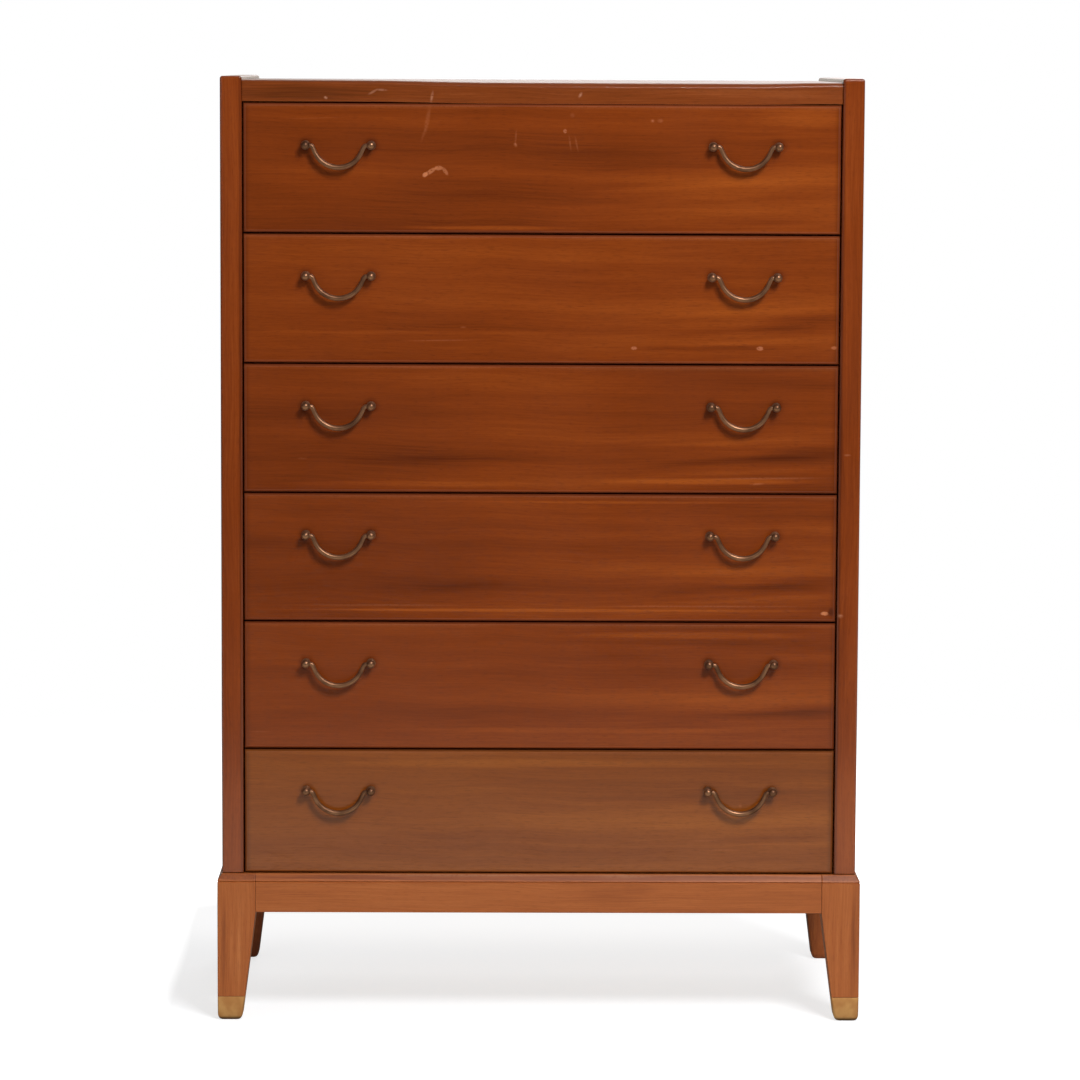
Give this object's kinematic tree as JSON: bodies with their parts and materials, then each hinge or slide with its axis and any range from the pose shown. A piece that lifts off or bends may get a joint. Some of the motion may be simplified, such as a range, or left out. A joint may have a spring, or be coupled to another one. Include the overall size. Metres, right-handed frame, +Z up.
{
  "type": "chest of drawers",
  "caption": "Tall mahogany chest of full-width drawers with swan-neck drop handles, on a low base with tapered legs and brass front feet.",
  "frame": {"origin": "on the floor, at the middle of the whole chest's outer box, handles included", "axes": "+Z up, the drawers face and open towards -Y, +X to the right of someone facing the drawers"},
  "size_m": [0.832, 0.4334, 1.2182],
  "materials": {
    "mahogany_case": "satin shellac polish",
    "mahogany_top": "polished, glossy",
    "mahogany_base": "satin, lighter orange brown",
    "mahogany_front": "satin shellac polish with ribbon grain",
    "drawer_box_wood": "bare, light brown",
    "pale_inner_wood": "bare, light brown",
    "cap_brass": "aged, matt",
    "handle_bronze": "dark bronze patina, worn brighter on top"
  },
  "bodies": {
    "case": {"side_left": "mahogany_case", "side_right": "mahogany_case", "top_board": "mahogany_top", "back_panel": "pale_inner_wood", "bottom_board": "pale_inner_wood", "base_frame": "mahogany_base", "leg_front_left": "mahogany_base", "leg_front_right": "mahogany_base", "leg_rear_left": "mahogany_base", "leg_rear_right": "mahogany_base", "leg_cap_left": "cap_brass", "leg_cap_right": "cap_brass"},
    "drawer_1": {"drawer_1_front": "mahogany_front", "drawer_1_box": "drawer_box_wood", "drawer_1_post_left_a": "handle_bronze", "drawer_1_post_left_b": "handle_bronze", "drawer_1_post_right_a": "handle_bronze", "drawer_1_post_right_b": "handle_bronze"},
    "drawer_2": {"drawer_2_front": "mahogany_front", "drawer_2_box": "drawer_box_wood", "drawer_2_post_left_a": "handle_bronze", "drawer_2_post_left_b": "handle_bronze", "drawer_2_post_right_a": "handle_bronze", "drawer_2_post_right_b": "handle_bronze"},
    "drawer_3": {"drawer_3_front": "mahogany_front", "drawer_3_box": "drawer_box_wood", "drawer_3_post_left_a": "handle_bronze", "drawer_3_post_left_b": "handle_bronze", "drawer_3_post_right_a": "handle_bronze", "drawer_3_post_right_b": "handle_bronze"},
    "drawer_4": {"drawer_4_front": "mahogany_front", "drawer_4_box": "drawer_box_wood", "drawer_4_post_left_a": "handle_bronze", "drawer_4_post_left_b": "handle_bronze", "drawer_4_post_right_a": "handle_bronze", "drawer_4_post_right_b": "handle_bronze"},
    "drawer_5": {"drawer_5_front": "mahogany_front", "drawer_5_box": "drawer_box_wood", "drawer_5_post_left_a": "handle_bronze", "drawer_5_post_left_b": "handle_bronze", "drawer_5_post_right_a": "handle_bronze", "drawer_5_post_right_b": "handle_bronze"},
    "drawer_6": {"drawer_6_front": "mahogany_front", "drawer_6_box": "drawer_box_wood", "drawer_6_post_left_a": "handle_bronze", "drawer_6_post_left_b": "handle_bronze", "drawer_6_post_right_a": "handle_bronze", "drawer_6_post_right_b": "handle_bronze"},
    "bail_1_left": {"drawer_1_bail_left": "handle_bronze"},
    "bail_1_right": {"drawer_1_bail_right": "handle_bronze"},
    "bail_2_left": {"drawer_2_bail_left": "handle_bronze"},
    "bail_2_right": {"drawer_2_bail_right": "handle_bronze"},
    "bail_3_left": {"drawer_3_bail_left": "handle_bronze"},
    "bail_3_right": {"drawer_3_bail_right": "handle_bronze"},
    "bail_4_left": {"drawer_4_bail_left": "handle_bronze"},
    "bail_4_right": {"drawer_4_bail_right": "handle_bronze"},
    "bail_5_left": {"drawer_5_bail_left": "handle_bronze"},
    "bail_5_right": {"drawer_5_bail_right": "handle_bronze"},
    "bail_6_left": {"drawer_6_bail_left": "handle_bronze"},
    "bail_6_right": {"drawer_6_bail_right": "handle_bronze"}
  },
  "joints": [
    {"name": "drawer_1_slide", "type": "slide", "parent": "case", "child": "drawer_1", "axis": [0, -1, 0], "range_m": [0, 0.3]},
    {"name": "drawer_2_slide", "type": "slide", "parent": "case", "child": "drawer_2", "axis": [0, -1, 0], "range_m": [0, 0.3]},
    {"name": "drawer_3_slide", "type": "slide", "parent": "case", "child": "drawer_3", "axis": [0, -1, 0], "range_m": [0, 0.3]},
    {"name": "drawer_4_slide", "type": "slide", "parent": "case", "child": "drawer_4", "axis": [0, -1, 0], "range_m": [0, 0.3]},
    {"name": "drawer_5_slide", "type": "slide", "parent": "case", "child": "drawer_5", "axis": [0, -1, 0], "range_m": [0, 0.3]},
    {"name": "drawer_6_slide", "type": "slide", "parent": "case", "child": "drawer_6", "axis": [0, -1, 0], "range_m": [0, 0.3]},
    {"name": "bail_1_left_swing", "type": "hinge", "parent": "drawer_1", "child": "bail_1_left", "pos_m": [-0.2595, -0.21125, 1.1311], "axis": [-1, 0, 0], "range_deg": [-15, 195]},
    {"name": "bail_1_right_swing", "type": "hinge", "parent": "drawer_1", "child": "bail_1_right", "pos_m": [0.2595, -0.21125, 1.1311], "axis": [-1, 0, 0], "range_deg": [-15, 195]},
    {"name": "bail_2_left_swing", "type": "hinge", "parent": "drawer_2", "child": "bail_2_left", "pos_m": [-0.2595, -0.21125, 0.965], "axis": [-1, 0, 0], "range_deg": [-15, 195]},
    {"name": "bail_2_right_swing", "type": "hinge", "parent": "drawer_2", "child": "bail_2_right", "pos_m": [0.2595, -0.21125, 0.965], "axis": [-1, 0, 0], "range_deg": [-15, 195]},
    {"name": "bail_3_left_swing", "type": "hinge", "parent": "drawer_3", "child": "bail_3_left", "pos_m": [-0.2595, -0.21125, 0.7989], "axis": [-1, 0, 0], "range_deg": [-15, 195]},
    {"name": "bail_3_right_swing", "type": "hinge", "parent": "drawer_3", "child": "bail_3_right", "pos_m": [0.2595, -0.21125, 0.7989], "axis": [-1, 0, 0], "range_deg": [-15, 195]},
    {"name": "bail_4_left_swing", "type": "hinge", "parent": "drawer_4", "child": "bail_4_left", "pos_m": [-0.2595, -0.21125, 0.6328], "axis": [-1, 0, 0], "range_deg": [-15, 195]},
    {"name": "bail_4_right_swing", "type": "hinge", "parent": "drawer_4", "child": "bail_4_right", "pos_m": [0.2595, -0.21125, 0.6328], "axis": [-1, 0, 0], "range_deg": [-15, 195]},
    {"name": "bail_5_left_swing", "type": "hinge", "parent": "drawer_5", "child": "bail_5_left", "pos_m": [-0.2595, -0.21125, 0.4667], "axis": [-1, 0, 0], "range_deg": [-15, 195]},
    {"name": "bail_5_right_swing", "type": "hinge", "parent": "drawer_5", "child": "bail_5_right", "pos_m": [0.2595, -0.21125, 0.4667], "axis": [-1, 0, 0], "range_deg": [-15, 195]},
    {"name": "bail_6_left_swing", "type": "hinge", "parent": "drawer_6", "child": "bail_6_left", "pos_m": [-0.2595, -0.21125, 0.3006], "axis": [-1, 0, 0], "range_deg": [-15, 195]},
    {"name": "bail_6_right_swing", "type": "hinge", "parent": "drawer_6", "child": "bail_6_right", "pos_m": [0.2595, -0.21125, 0.3006], "axis": [-1, 0, 0], "range_deg": [-15, 195]}
  ]
}
